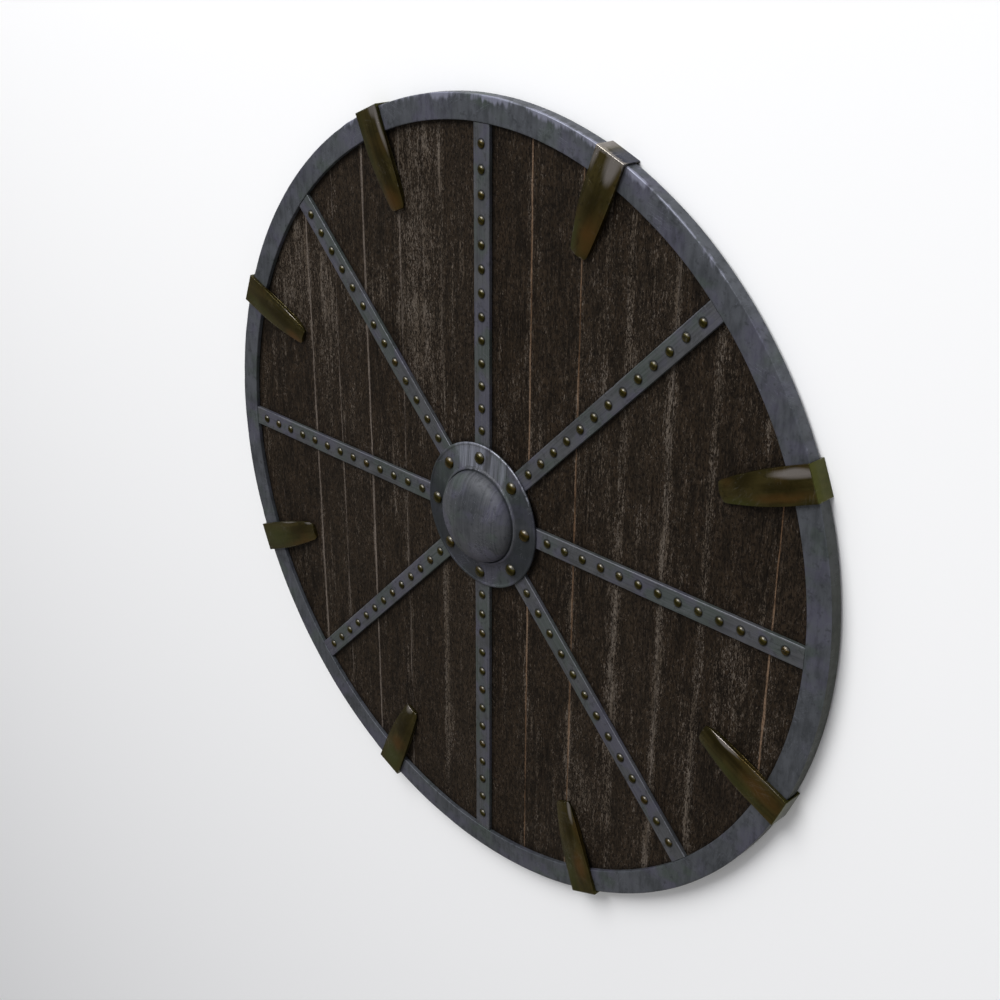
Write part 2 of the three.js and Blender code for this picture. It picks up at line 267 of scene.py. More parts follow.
def metal_material(
    name, deep, light, bare_and_highlight, streak, rough, metallic,
    worn_rough=0.3, rings=False, bare_gain=1.0, patina=None, tarnish_and_shade_tint=(0.024, 0.028, 0.030), rub_and_highlight_tint=(0.30, 0.31, 0.36),
    streaky=0.92, stains=(), gloss=0.5,
):
    """Old plate: tarnish, brushed streaks, scratches, bare metal along worn edges, and painted highlight and painted
    shade where the piece asks for them.
    """
    m = Maker(name)
    flow = m.attribute("flow", "Vector")
    wear_and_highlight = m.attribute("wear_and_highlight")
    cloud = m.noise(m.scaled(flow, (34, 34, 34), (4, 1, 7)), 5, 0.6)
    brush = m.noise(m.scaled(flow, streak, (2, 3, 5)), 4, 0.6)
    grime = m.noise(m.scaled(flow, (150, 150, 150), (8, 4, 2)), 5, 0.65)
    speck = m.noise(m.scaled(flow, (900, 900, 900), (1, 1, 2)), 2, 0.6)
    colour = m.blend(m.between(cloud, 0.34, 0.66), deep, light)
    if patina:
        for tint, low, high, seed in patina:
            where = m.noise(m.scaled(flow, (22, 30, 22), (seed, 1, seed)), 3, 0.5)
            colour = m.blend(m.between(where, low, high, 0.0, 0.8), colour, tint)
    colour = m.blend(m.between(brush, 0.40, 0.66, 0.0, 0.5), colour, shade(light, 1.3))
    colour = m.blend(m.between(brush, 0.48, 0.32, 0.0, 0.4), colour, shade(deep, 0.7))
    colour = m.blend(m.between(grime, 0.54, 0.68, 0.0, 0.55), colour, shade(deep, 0.5))
    # Darker places, from tarnish and from painted shade, and paler places, from rubbing and from painted highlight,
    # where the piece says.
    colour = m.blend(m.sums("MULTIPLY", m.attribute("tarnish_and_shade"), 0.85), colour, tarnish_and_shade_tint)
    for key, tint in stains:
        colour = m.blend(m.sums("MULTIPLY", m.attribute(key), m.between(cloud, 0.25, 0.6, 0.55, 1.0)), colour, tint)
    rub_and_highlight = m.sums("MULTIPLY_ADD", m.sums("SUBTRACT", brush, 0.5), streaky, m.attribute("polish_and_highlight"))
    rubbed_and_highlight = m.between(rub_and_highlight, 0.20 + 0.33 * streaky, 0.98, 0.0, 0.9)
    colour = m.blend(rubbed_and_highlight, colour, rub_and_highlight_tint)
    # Scratches, crossing each other in three directions.
    marks = []
    for turn, seed in ((0.35, 3), (1.9, 8), (2.6, 5)):
        spun = m.node("ShaderNodeVectorRotate", rotation_type="Z_AXIS")
        m.put(spun.inputs["Vector"], flow)
        spun.inputs["Angle"].default_value = turn
        line = m.noise(m.scaled(spun.outputs[0], (26, 620, 26), (seed, seed, 1)), 2, 0.5)
        thin = m.between(m.sums("ABSOLUTE", m.sums("SUBTRACT", line, 0.5)), 0.0, 0.010, 1.0, 0.0)
        patch = m.between(m.noise(m.scaled(flow, (30, 30, 30), (seed, 2, seed)), 3), 0.55, 0.66)
        marks.append(m.sums("MULTIPLY", thin, patch))
    scratch = m.sums("MAXIMUM", m.sums("MAXIMUM", marks[0], marks[1]), marks[2])
    colour = m.blend(m.sums("MULTIPLY", scratch, 0.30), colour, bare_and_highlight)
    # Flaked wear and painted highlight: bare patches drawn out along the brushing.
    flake = m.sums("MULTIPLY_ADD", brush, 0.5, m.sums("MULTIPLY", m.noise(m.scaled(flow, (190, 190, 190), (5, 1, 1)), 4, 0.7), 0.5))
    chipped = m.sums("MULTIPLY_ADD", wear_and_highlight, 0.42, flake)
    worn_and_highlight = m.between(chipped, 0.70, 0.86, 0.0, bare_gain)
    colour = m.blend(worn_and_highlight, colour, bare_and_highlight)
    if rings:
        # Painted shade and dirt: a dark ring around every rivet head on a strap.
        at = m.parts(flow)
        along = m.sums("WRAP", at[0], (RIVET_FIRST + RIVET_PITCH / 2) * MM, (RIVET_FIRST - RIVET_PITCH / 2) * MM)
        along = m.sums("SUBTRACT", along, RIVET_FIRST * MM)
        away = m.sums("SQRT", m.sums("MULTIPLY_ADD", along, along, m.sums("MULTIPLY", at[1], at[1])))
        ring = m.between(away, 4.6 * MM, 6.0 * MM, 1.0, 0.0)
        colour = m.blend(m.sums("MULTIPLY", ring, 0.85), colour, shade(deep, 0.2))
    m.put(m.shader.inputs["Base Color"], colour)
    m.shader.inputs["Specular IOR Level"].default_value = gloss
    m.put(m.shader.inputs["Metallic"], m.between(worn_and_highlight, 0.0, 1.0, metallic, 1.0))
    # Roughness, varying with the cloud and grime noise.
    tarnish_and_shade = m.between(m.sums("MULTIPLY_ADD", cloud, 0.5, m.sums("MULTIPLY", grime, 0.5)), 0.38, 0.62, rough[0], rough[1])
    away = m.sums("SUBTRACT", tarnish_and_shade, worn_rough)
    m.put(m.shader.inputs["Roughness"], m.sums("SUBTRACT", tarnish_and_shade, m.sums("MULTIPLY", away, worn_and_highlight)))
    height = m.sums("MULTIPLY_ADD", brush, 0.3, m.sums("MULTIPLY", grime, 0.5))
    height = m.sums("MULTIPLY_ADD", speck, 0.18, height)
    height = m.sums("SUBTRACT", height, m.sums("MULTIPLY", scratch, 0.35))
    m.put(m.shader.inputs["Normal"], m.bump(height, 0.00035, 0.6))
    return m.material


WOOD = wood_material()
LILAC = (0.078, 0.076, 0.108)
MOSS = (0.056, 0.072, 0.062)
RIM_STEEL = metal_material(
    "rim_steel", (0.046, 0.051, 0.058), (0.072, 0.077, 0.088), (0.27, 0.28, 0.34), (170, 40, 60), (0.46, 0.62), 0.50,
    worn_rough=0.45, bare_gain=0.5, patina=((LILAC, 0.48, 0.64, 2), (MOSS, 0.54, 0.68, 9)), rub_and_highlight_tint=(0.21, 0.215, 0.275),
    tarnish_and_shade_tint=(0.020, 0.023, 0.013), streaky=1.3,
)
STRAP_STEEL = metal_material(
    "strap_steel", (0.052, 0.055, 0.059), (0.078, 0.080, 0.086), (0.26, 0.265, 0.30), (14, 620, 60), (0.48, 0.62), 0.50,
    worn_rough=0.45, rings=True, bare_gain=0.4, patina=((LILAC, 0.47, 0.60, 4), (MOSS, 0.47, 0.60, 7)),
)
BOSS_STEEL = metal_material(
    "boss_steel", (0.044, 0.047, 0.053), (0.068, 0.070, 0.077), (0.36, 0.37, 0.42), (560, 16, 26), (0.50, 0.64), 0.34,
    worn_rough=0.40, bare_gain=0.7, patina=((LILAC, 0.48, 0.60, 5), (MOSS, 0.48, 0.62, 1)), rub_and_highlight_tint=(0.21, 0.22, 0.26), gloss=0.3,
    tarnish_and_shade_tint=(0.011, 0.014, 0.016),
)
BRASS = metal_material(
    "clip_brass", (0.032, 0.026, 0.0065), (0.060, 0.047, 0.0135), (0.34, 0.31, 0.27), (12, 200, 60), (0.18, 0.27), 0.75,
    worn_rough=0.26, bare_gain=0.6, patina=(((0.070, 0.044, 0.012), 0.52, 0.68, 3),), tarnish_and_shade_tint=(0.018, 0.013, 0.002), rub_and_highlight_tint=(0.27, 0.245, 0.228),
    streaky=0.40, stains=(("green", (0.050, 0.057, 0.011)), ("amber", (0.098, 0.048, 0.012)), ("blue_reflection", (0.026, 0.029, 0.046))), gloss=0.2,
)
RIVET_BRASS = metal_material(
    "rivet_brass", (0.040, 0.034, 0.006), (0.066, 0.054, 0.010), (0.40, 0.38, 0.33), (300, 300, 300), (0.24, 0.32), 0.70,
    worn_rough=0.3, bare_gain=0.4, patina=(((0.080, 0.044, 0.010), 0.53, 0.64, 3),), tarnish_and_shade_tint=(0.016, 0.013, 0.002),
    rub_and_highlight_tint=(0.105, 0.099, 0.086), streaky=0.2, gloss=0.12,
)
IRON = metal_material(
    "grip_iron", (0.040, 0.040, 0.042), (0.085, 0.083, 0.082), (0.30, 0.29, 0.28), (30, 260, 60), (0.5, 0.7), 0.6,
)

# ---------------------------------------------------------------- mesh helpers


def piece(name, points, faces, material, nodes, spin=0.0, flow=None, sharp=35, values=None):
    """One piece of the shield, given in millimetres and turned about Z into its place."""
    mesh = bpy.data.meshes.new(name)
    mesh.from_pydata([(x * MM, y * MM, z * MM) for x, y, z in points], [], faces)
    store = mesh.attributes.new("flow", "FLOAT_VECTOR", "POINT")
    for i, p in enumerate(flow or points):
        store.data[i].vector = (p[0] * MM, p[1] * MM, p[2] * MM)
    for key, numbers in (values or {}).items():
        store = mesh.attributes.new(key, "FLOAT", "POINT")
        for i, v in enumerate(numbers):
            store.data[i].value = v
    if spin:
        mesh.transform(Matrix.Rotation(spin, 4, "Z"))
    mesh.materials.append(material)
    mesh.validate()
    mesh.shade_smooth()
    mesh.set_sharp_from_angle(angle=math.radians(sharp))
    thing = bpy.data.objects.new(name, mesh)
    bpy.context.scene.collection.objects.link(thing)
    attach(thing, "root")
    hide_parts(*nodes)
    return thing


def rounded(outline, radii, steps=3):
    """A closed outline of [a, b] pairs with its corners rounded; gives points and how much of an edge each is."""
    points, edge = [], []
    count = len(outline)
    for i in range(count):
        here = Vector(outline[i])
        before = Vector(outline[i - 1]) - here
        after = Vector(outline[(i + 1) % count]) - here
        radius = radii[i]
        if radius <= 0:
            points.append(tuple(here))
            edge.append(0.0)
            continue
        turn = before.angle(after)
        reach = min(radius / math.tan(turn / 2), before.length * 0.45, after.length * 0.45)
        a = here + before.normalized() * reach
        b = here + after.normalized() * reach
        for extra in (2.6, 1.2):
            if before.length > reach + extra * 2 + 1:
                points.append(tuple(a + before.normalized() * extra))
                edge.append(0.12 if extra > 2 else 0.45)
        for k in range(steps + 1):
            t = k / steps
            points.append(tuple(a.lerp(here, t).lerp(here.lerp(b, t), t)))
            edge.append(1.0)
        for extra in (1.2, 2.6):
            if after.length > reach + extra * 2 + 1:
                points.append(tuple(b + after.normalized() * extra))
                edge.append(0.12 if extra > 2 else 0.45)
    return points, edge


def rings(rows, closed_rows, closed_columns=True):
    """Faces over a grid of rows, each a ring of column indices."""
    count, wide = len(rows), len(rows[0])
    faces = []
    for i in range(count if closed_rows else count - 1):
        a, b = rows[i], rows[(i + 1) % count]
        for j in range(wide if closed_columns else wide - 1):
            k = (j + 1) % wide
            faces.append((a[j], a[k], b[k], b[j]))
    return faces


def turned(profile, segments, closed=False, axis_ends=(False, False)):
    """Points and faces of a profile of (r, z) turned about Z."""
    points, rows = [], []
    first = 1 if axis_ends[0] else 0
    last = len(profile) - (1 if axis_ends[1] else 0)
    for r, z in profile[first:last]:
        row = []
        for k in range(segments):
            a = 2 * math.pi * k / segments
            row.append(len(points))
            points.append((r * math.cos(a), r * math.sin(a), z))
        rows.append(row)
    faces = rings(rows, closed)
    if axis_ends[0]:
        points.append((0.0, 0.0, profile[0][1]))
        tip = len(points) - 1
        faces += [(tip, rows[0][(k + 1) % segments], rows[0][k]) for k in range(segments)]
    if axis_ends[1]:
        points.append((0.0, 0.0, profile[-1][1]))
        tip = len(points) - 1
        faces += [(tip, rows[-1][k], rows[-1][(k + 1) % segments]) for k in range(segments)]
    return points, faces


def soft(edge0, edge1, value):
    t = min(1.0, max(0.0, (value - edge0) / (edge1 - edge0)))
    return t * t * (3 - 2 * t)


def waves(x, y, z=0.0):
    return noise.noise(Vector((x, y, z)))


# ---------------------------------------------------------------- planks

SEAMS = [0.0]
for width in (63, 63, 59, 53, 48, 76):
    SEAMS.append(SEAMS[-1] + width)
SEAMS.append(BOARD_R)

# How much raw tan wood and greyed wood shows on each seam, by its distance from the middle.
TAN = {63: 0.85, 126: 0.9, 286: 0.1, 362: 0.9, -126: 0.25, -362: 0.3}
ASH = {63: 0.3, 126: 0.3, 238: 0.5, 286: 0.3, -63: 0.4, -126: 0.6, -185: 0.9, -238: 0.6, -286: 0.85, -362: 0.4}
GREY = {63: 0.3, 126: 0.35, 185: 0.55, 238: 0.75, 286: 0.6, 362: 0.2, -63: 0.5, -126: 0.3, -238: 0.2, -286: 0.3}
# Bleached patches: middle x and y, half width and half length, and amount.
BLEACHED = (
    (-98, 250, 33, 190, 0.72),
    (-320, 205, 44, 80, 0.80),
    (-262, 150, 26, 130, 0.50),
    (-215, 60, 24, 150, 0.22),
    (-30, 260, 24, 120, 0.25),
    (177, -120, 9, 190, 0.45),
    (-60, -190, 7, 160, 0.45),
    (212, 230, 22, 120, 0.40),
    (150, 130, 20, 110, 0.25),
    (120, -250, 18, 90, 0.30),
    (255, 60, 14, 120, 0.30),
    (320, -60, 18, 110, 0.30),
    (150, -300, 30, 60, 0.40),
)


def bleach(x, y):
    most = 0.0
    for bx, by, rx, ry, amount in BLEACHED:
        far = math.hypot((x - bx) / rx, (y - by) / ry)
        most = max(most, amount * (1 - soft(0.55, 1.25, far)))
    return most


def plank(name, side, number, seed):
    rng = random.Random(seed)
    left = SEAMS[number] + 0.15
    right = SEAMS[number + 1] - (0.15 if number < 6 else 0.0)
    width = right - left
    columns = [left + d for d in (0.0, 0.25, 0.6, 1.1, 1.8, 2.8)]
    inner = max(2, round((width - 5.6) / 3.1))
    columns += [left + 2.8 + (width - 5.6) * k / inner for k in range(1, inner)]
    columns += [right - d for d in (2.8, 1.8, 1.1, 0.6, 0.25, 0.0)]
    if number == 0:
        columns = sorted(columns + [HAND_R, HAND_R + 0.01])
    tall = math.sqrt(max(0.0, BOARD_R**2 - left**2))
    rows_up = max(8, round(tall / 5.0))
    tone = rng.uniform(0.0, 0.65)
    cup = rng.uniform(-0.25, 0.1)
    edge_left = rng.uniform(0.5, 1.1)
    edge_right = rng.uniform(0.5, 1.1)
    points, flow, values = [], [], {"pale": [], "tan_edge": [], "ash_line": [], "grey_edge": [], "tone": [], "darker_near_metal": []}
    index = {}

    def add(x, y, z, low):
        key = (round(x, 3), round(y, 3), low)
        if key in index:
            return index[key]
        index[key] = len(points)
        wx, wy = side * x, side * y
        points.append((wx, wy, z))
        flow.append((wx + seed * 1000.0, wy + seed * 310.0, z))
        near_left, near_right = x - left, right - x
        tan = ash = grey = 0.0
        for distance, seam in ((near_left, SEAMS[number]), (near_right, SEAMS[number + 1])):
            signed = round(side * seam)
            tan = max(tan, TAN.get(signed, 0.0) * math.exp(-distance / 1.4))
            ash = max(ash, ASH.get(signed, 0.0) * math.exp(-distance / 1.8))
            grey = max(grey, GREY.get(signed, 0.0) * (1 - soft(1.0, 7.5, distance)))
        values["pale"].append(0.0 if low else bleach(wx, wy))
        values["tan_edge"].append(0.25 * tan if low else tan)
        values["ash_line"].append(0.25 * ash if low else ash)
        values["grey_edge"].append(0.4 * grey if low else grey)
        values["tone"].append(tone + 0.25 * waves(x * 0.02, y * 0.006, seed))
        radius = math.hypot(x, y)
        turn = math.atan2(wy, wx)
        off = abs(radius * math.sin((turn + math.pi / 8) % (math.pi / 4) - math.pi / 8))
        # Darker wood beside the straps, the rim and the boss.
        near_metal = max(1 - soft(0, 5, off - STRAP_HALF), soft(BOARD_R - 26, BOARD_R - 19, radius), 1 - soft(0, 6, radius - BOSS_R))
        values["darker_near_metal"].append(near_metal if not low else 0.0)
        return index[key]

    def front(x, y):
        seam = min(x - left, right - x)
        chip = 0.55 + 0.75 * max(0.0, waves(y * 0.045, seed * 3.1, x * 0.01))
        edge = (edge_left if x - left < right - x else edge_right) * chip * math.exp(-seam / 0.9)
        wave = 0.22 * (0.5 + waves(x * 0.09, y * 0.007, seed)) + 0.16 * (0.5 + waves(x * 0.3, y * 0.02, seed + 9))
        bow = cup * (1 - (2 * (x - left) / width - 1) ** 2)
        return BOARD_FRONT - max(0.0, edge + wave - bow * 0.5 - 0.05)

    faces = []
    for low in (False, True):
        for half in (1, -1):
            grid = []
            for x in columns:
                reach = math.sqrt(max(0.0, BOARD_R**2 - min(x, BOARD_R) ** 2))
                start = math.sqrt(HAND_R**2 - x**2) if x < HAND_R else 0.0
                line = []
                for k in range(rows_up + 1):
                    y = half * (start + (reach - start) * k / rows_up)
                    z = BOARD_BACK + 0.12 * (0.5 + waves(x * 0.1, y * 0.01, seed + 40)) if low else front(x, y)
                    if not low and start > 0 and k == 0:
                        z -= 0.5
                    line.append(add(x, y, z, low))
                grid.append(line)
            flip = (half > 0) == low
            for a, b in zip(grid, grid[1:]):
                for k in range(rows_up):
                    quad = [a[k], b[k], b[k + 1], a[k + 1]]
                    ring = []
                    for v in quad:
                        if v not in ring:
                            ring.append(v)
                    if len(ring) > 2:
                        faces.append(tuple(reversed(ring)) if flip else tuple(ring))
    # Walls between the front and back, wherever a front edge has only one face.
    uses = {}
    for face in faces:
        for a, b in zip(face, face[1:] + face[:1]):
            uses[(a, b)] = True
    twin = {}
    for (x, y, low), i in index.items():
        if not low:
            twin[i] = index[(x, y, True)]
    for a, b in list(uses):
        if (b, a) not in uses and a in twin and b in twin:
            faces.append((b, a, twin[a], twin[b]))
    return piece(name, points, faces, WOOD, [name], flow=flow, values=values, sharp=40)


for number in range(7):
    plank(f"plank_right_{number + 1}", 1, number, 3 + number)
    plank(f"plank_left_{number + 1}", -1, number, 23 + number)

# ---------------------------------------------------------------- rim

groove = RIM_R - 4.5
rim_outline = [
    (RIM_IN, RIM_BACK),
    (RIM_R, RIM_BACK),
    (RIM_R, RIM_FRONT),
    (RIM_IN, RIM_FRONT),
    (RIM_IN, RIM_FRONT - 5.0),
    (groove, RIM_FRONT - 5.0),
    (groove, BOARD_BACK - 0.3),
    (RIM_IN, BOARD_BACK - 0.3),
]
rim_profile, rim_edge = rounded(rim_outline, (0.8, 1.2, 0.9, 0.8, 0.4, 0, 0, 0.4))
# More rings across the wide front face, to carry the wear and painted highlight.
at = max(i for i, (r, z) in enumerate(rim_profile) if z > RIM_FRONT - 0.01 and r > RIM_R - 6)
for step, r in enumerate((418.0, 413.0, 408.0)):
    rim_profile.insert(at + 1 + step, (r, RIM_FRONT))
    rim_edge.insert(at + 1 + step, 0.0)
SEG = 288
points, faces = turned(rim_profile, SEG, closed=True)
wear_and_highlight, polish_and_highlight, tarnish_and_shade = [], [], []
moved = []
for i, (x, y, z) in enumerate(points):
    row = i // SEG
    a = math.atan2(y, x)
    r = math.hypot(x, y)
    edge = rim_edge[row]
    upper = 0.5 + 0.5 * math.sin(a)
    knock = 0.5 + waves(math.cos(a) * 9, math.sin(a) * 9, z * 0.05)
    nick = max(0.0, waves(math.cos(a) * 34, math.sin(a) * 34, 4.0) - 0.25)
    front = edge > 0.9 and z > RIM_FRONT - 2
    inward = (0.22 * knock + (0.9 * nick if front else 0.0)) * (1 if r > RIM_R - 3 else 0)
    outward = (0.30 * knock + 0.5 * nick) * (1 if r < RIM_IN + 3 and z > BOARD_FRONT else 0)
    dip = (0.12 * knock + (0.35 * nick if front else 0.0)) * (1 if z > RIM_FRONT - 1.2 else 0)
    r2 = r - inward * edge + outward * edge * 0.4
    moved.append((r2 * math.cos(a), r2 * math.sin(a), z - dip))
    high = math.degrees(a)
    # Painted highlight: more wear colour on the front crease toward the upper right and on the upper side.
    crease_highlight = soft(42, 58, high) * (1 - soft(82, 96, high)) + 0.45 * soft(96, 104, high) * (1 - soft(118, 132, high))
    broken = 0.5 + waves(math.cos(a) * 20, math.sin(a) * 20, 9.0)
    if r < RIM_R - 5:
        wear_and_highlight.append(edge * 0.22)
    elif z > RIM_FRONT - 4:
        wear_and_highlight.append(edge * (0.62 * crease_highlight * (0.5 + broken) + (0.15 + 0.25 * upper) * broken))
    else:
        wear_and_highlight.append(edge * 0.2)
    # Worn flakes with painted highlight along the top of the outer margin.
    frost_and_highlight = soft(52, 64, high) * (1 - soft(84, 104, high)) + 0.78 * soft(84, 104, high) * (1 - soft(116, 134, high))
    frost_and_highlight += 0.55 * soft(8, 22, high) * (1 - soft(52, 64, high))
    frost_and_highlight += 0.55 * waves(high * 0.21, 3.0, 1.0) * soft(0, 30, high) * (1 - soft(116, 134, high))
    if z > RIM_FRONT - 3:
        polish_and_highlight.append(0.92 * max(0.0, frost_and_highlight) * soft(408, 425, r))
    else:
        polish_and_highlight.append(0.55 * max(0.0, frost_and_highlight) if r > RIM_R - 1 else 0.0)
    # Painted shade on the outer side toward the right and lower right.
    tarnish_and_shade.append((1 - soft(4, 34, high)) * soft(-75, -45, high) if r > RIM_R - 1.5 and z < RIM_FRONT - 0.5 else 0.0)
piece("rim_ring", moved, faces, RIM_STEEL, ["rim"], values={"wear_and_highlight": wear_and_highlight, "polish_and_highlight": polish_and_highlight, "tarnish_and_shade": tarnish_and_shade})

# ---------------------------------------------------------------- straps and rivets


def rivet(radius, height, base, tail_at, tail_height, segments=24):
    """A domed head standing on z = base, a shank, and a peened tail at the back."""
    dome = [(radius * math.sin(t), base + height * math.cos(t)) for t in (math.pi / 2 * k / 8 for k in range(9))]
    dome[-1] = (radius, base + 0.25)
    profile = dome + [
        (radius * 0.97, base),
        (radius * 0.5, base),
        (radius * 0.5, tail_at),
        (radius * 0.74, tail_at),
        (radius * 0.66, tail_at - tail_height * 0.7),
        (radius * 0.4, tail_at - tail_height),
        (0.0, tail_at - tail_height),
    ]
    points, faces = turned(profile, segments, axis_ends=(True, True))
    return points, [tuple(reversed(f)) for f in faces]


def rivet_values(points, radius, base, spin):
    """A head gets a painted highlight on its upper flank and painted shade below it; world +Y is up."""
    values = {"polish_and_highlight": [], "tarnish_and_shade": [], "wear_and_highlight": []}
    for x, y, z in points:
        wx = (x * math.cos(spin) - y * math.sin(spin)) / radius
        wy = (x * math.sin(spin) + y * math.cos(spin)) / radius
        on_head = 1.0 if z > base - 0.01 else 0.0
        side = 0.9 * wy + 0.35 * wx
        values["polish_and_highlight"].append(on_head * soft(0.40, 0.85, side))
        values["tarnish_and_shade"].append(on_head * soft(-0.55, 0.0, side) * (1 - soft(0.25, 0.6, side)))
        values["wear_and_highlight"].append(0.05 * on_head)
    return values


strap_outline = [
    (-STRAP_HALF, STRAP_BASE),
    (STRAP_HALF, STRAP_BASE),
    (STRAP_HALF, STRAP_TOP),
    (-STRAP_HALF, STRAP_TOP),
]
strap_profile, strap_edge = rounded(strap_outline, (0.3, 0.3, 0.55, 0.55))
STEPS = 150
for number in range(8):
    spin = number * math.pi / 4
    rng = random.Random(100 + number)
    points, flow, rows, wear_and_highlight = [], [], [], []
    for i in range(STEPS + 1):
        x = STRAP_IN + (STRAP_OUT - STRAP_IN) * i / STEPS
        row = []
        for (y, z), edge in zip(strap_profile, strap_edge):
            nick = max(0.0, waves(x * 0.16, y * 0.2 + number * 7.3, 2.0) - 0.2) * edge
            flat = 0.10 * (0.5 + waves(x * 0.03, number * 5.1, y * 0.05))
            high = z > STRAP_TOP - 1.5
            row.append(len(points))
            points.append((x, y - math.copysign(0.5 * nick, y), z - (flat + 0.35 * nick if high else 0.0)))
            flow.append((x, y, z + number * 300.0))
            # Edge wear, with painted highlight on the top edge that faces world +Y.
            upper = math.cos(spin) * y / STRAP_HALF
            wear_and_highlight.append(edge * (0.35 + 0.5 * max(0.0, upper)) if high else 0.0)
        rows.append(row)
    faces = rings(rows, False)
    faces.append(tuple(rows[0]))
    faces.append(tuple(reversed(rows[-1])))
    faces = [tuple(reversed(f)) for f in faces]
    piece(f"strap_bar_{number + 1}", points, faces, STRAP_STEEL, [f"strap_{number + 1}"], spin, flow, values={"wear_and_highlight": wear_and_highlight})
    points, flow, faces, values = [], [], [], {"polish_and_highlight": [], "tarnish_and_shade": [], "wear_and_highlight": []}
    for k in range(RIVETS):
        at = RIVET_FIRST + k * RIVET_PITCH
        over_grip = number in (0, 4) and at < grip_high[0] - 8
        tail = grip_low[2] if over_grip else BOARD_BACK
        size = RIVET_R * rng.uniform(0.96, 1.0)
        some, these = rivet(size, RIVET_H * rng.uniform(0.9, 1.0), STRAP_TOP - 0.12, tail + 0.05, 0.55 if over_grip else 1.0)
        start = len(points)
        for px, py, pz in some:
            points.append((px + at, py, pz))
            flow.append((px + at, py, pz + number * 300.0 + k * 41.0))
        faces += [tuple(v + start for v in f) for f in these]
        for key, numbers in rivet_values(some, size, STRAP_TOP - 0.12, spin).items():
            values[key] += numbers
    piece(f"strap_rivets_{number + 1}", points, faces, RIVET_BRASS, [f"strap_{number + 1}"], spin, flow, values=values)

# ---------------------------------------------------------------- boss

inner = [
    ((DOME_R - 2) * math.cos(t), DOME_BASE - 1.5 + (BOSS_TOP - 2 - DOME_BASE + 1.5) * math.sin(t))
    for t in (math.pi / 2 * k / 12 for k in range(13))
]
inner[-1] = (0.0, BOSS_TOP - 2)
outer = [
    (DOME_R * math.cos(t), DOME_BASE + (BOSS_TOP - DOME_BASE) * math.sin(t))
    for t in (math.pi / 2 * k / 28 for k in range(29))
]
outer[-1] = (0.0, BOSS_TOP)
flange = [
    (DOME_R - 2, BOSS_BASE),
    (BOSS_R - 0.4, BOSS_BASE),
    (BOSS_R, BOSS_BASE + 0.4),
    (BOSS_R, 18.4),
    (BOSS_R - 0.25, 18.85),
    (BOSS_R - 0.8, 19.1),
    (BOSS_R - 1.8, 19.1),
    (BOSS_R - 2.4, 18.9),
    (BOSS_R - 2.9, 18.5),
    (BOSS_R - 3.3, 18.4),
    (73.0, 18.68),
    (69.0, 19.05),
    (64.0, 19.5),
    (59.0, 19.95),
    (55.5, 20.25),
    (54.2, 20.4),
    (53.7, 20.6),
    (53.3, 21.3),
    (52.9, 21.75),
    (52.2, 21.95),
    (51.4, 22.0),
    (50.9, 21.8),
    (50.6, 21.2),
    (50.3, 21.0),
    (50.05, 21.2),
    (49.85, 22.2),
]
profile = list(reversed(inner)) + flange + outer[1:]
SEG = 192
points, faces = turned(profile, SEG, axis_ends=(True, True))
flange_start = len(inner) - 1
edge_of = []
for i, (r, z) in enumerate(profile[1:-1]):
    if i < flange_start:
        edge_of.append(0.0)
    elif r > BOSS_R - 2.0 and z > 18:
        edge_of.append(0.9)
    elif 51.0 < r < 53.2 and z > 21.5:
        edge_of.append(0.7)
    elif r < 51.0 and z < 22.5:
        edge_of.append(-0.6)
    elif z > DOME_BASE:
        edge_of.append(0.22)
    else:
        edge_of.append(0.15)
# Painted highlight on the flange's upper end and painted shade at its sides.
PAINTED_HIGHLIGHT_AT = ((102, 32, 0.95), (66, 20, 0.85))
PAINTED_SHADE_AT = ((195, 62, 0.95), (338, 44, 0.95), (22, 26, 0.75), (250, 30, 0.8), (152, 22, 0.6), (294, 20, 0.35))
moved, wear_and_highlight, polish_and_highlight, tarnish_and_shade = [], [], [], []
for i, (x, y, z) in enumerate(points):
    row = min(i // SEG, len(profile) - 3)
    dent = 0.5 + waves(x * 0.035, y * 0.035, z * 0.035)
    deep = 0.28 * dent if z > DOME_BASE + 1 else 0.10 * dent if z > BOSS_BASE + 1 else 0.0
    moved.append((x, y, z - deep))
    upper = 0.5 + 0.5 * y / max(1.0, math.hypot(x, y))
    turn = math.degrees(math.atan2(y, x)) % 360
    # Painted highlight on the outer lip and collar toward the upper right, and more wear colour on the upper side.
    lit = 1 - soft(15, 75, abs((turn - 62 + 180) % 360 - 180))
    broken = 0.75 + 0.6 * waves(x * 0.09, y * 0.09, 8.0)
    wear_and_highlight.append(edge_of[row] * (0.12 + 0.9 * lit * broken) if edge_of[row] > 0.3 else edge_of[row] * (0.4 + 0.6 * upper))
    on_flange = soft(53.0, 54.5, math.hypot(x, y)) if z > BOSS_BASE + 1 else 0.0
    painted_highlight = max(amount * (1 - soft(0.4, 1.0, abs((turn - where + 180) % 360 - 180) / reach)) for where, reach, amount in PAINTED_HIGHLIGHT_AT)
    painted_shade = max(amount * (1 - soft(0.4, 1.0, abs((turn - where + 180) % 360 - 180) / reach)) for where, reach, amount in PAINTED_SHADE_AT)
    # Darker in the groove at the foot of the dome.
    groove_dark = 0.9 if edge_of[row] < 0 else 0.0
    # Painted highlight on the flange's upper end and on the dome's upper side.
    polish_and_highlight.append(0.80 * painted_highlight * on_flange + (0.10 * upper if z > DOME_BASE else 0.0))
    # Painted shade on the top of the dome.
    painted_cap_shade = 0.28 * (1 - soft(12, 34, math.hypot(x - 6, y - 20))) if z > DOME_BASE else 0.0
    tarnish_and_shade.append(max(painted_shade * on_flange, groove_dark, painted_cap_shade))
faces = [tuple(reversed(f)) for f in faces]
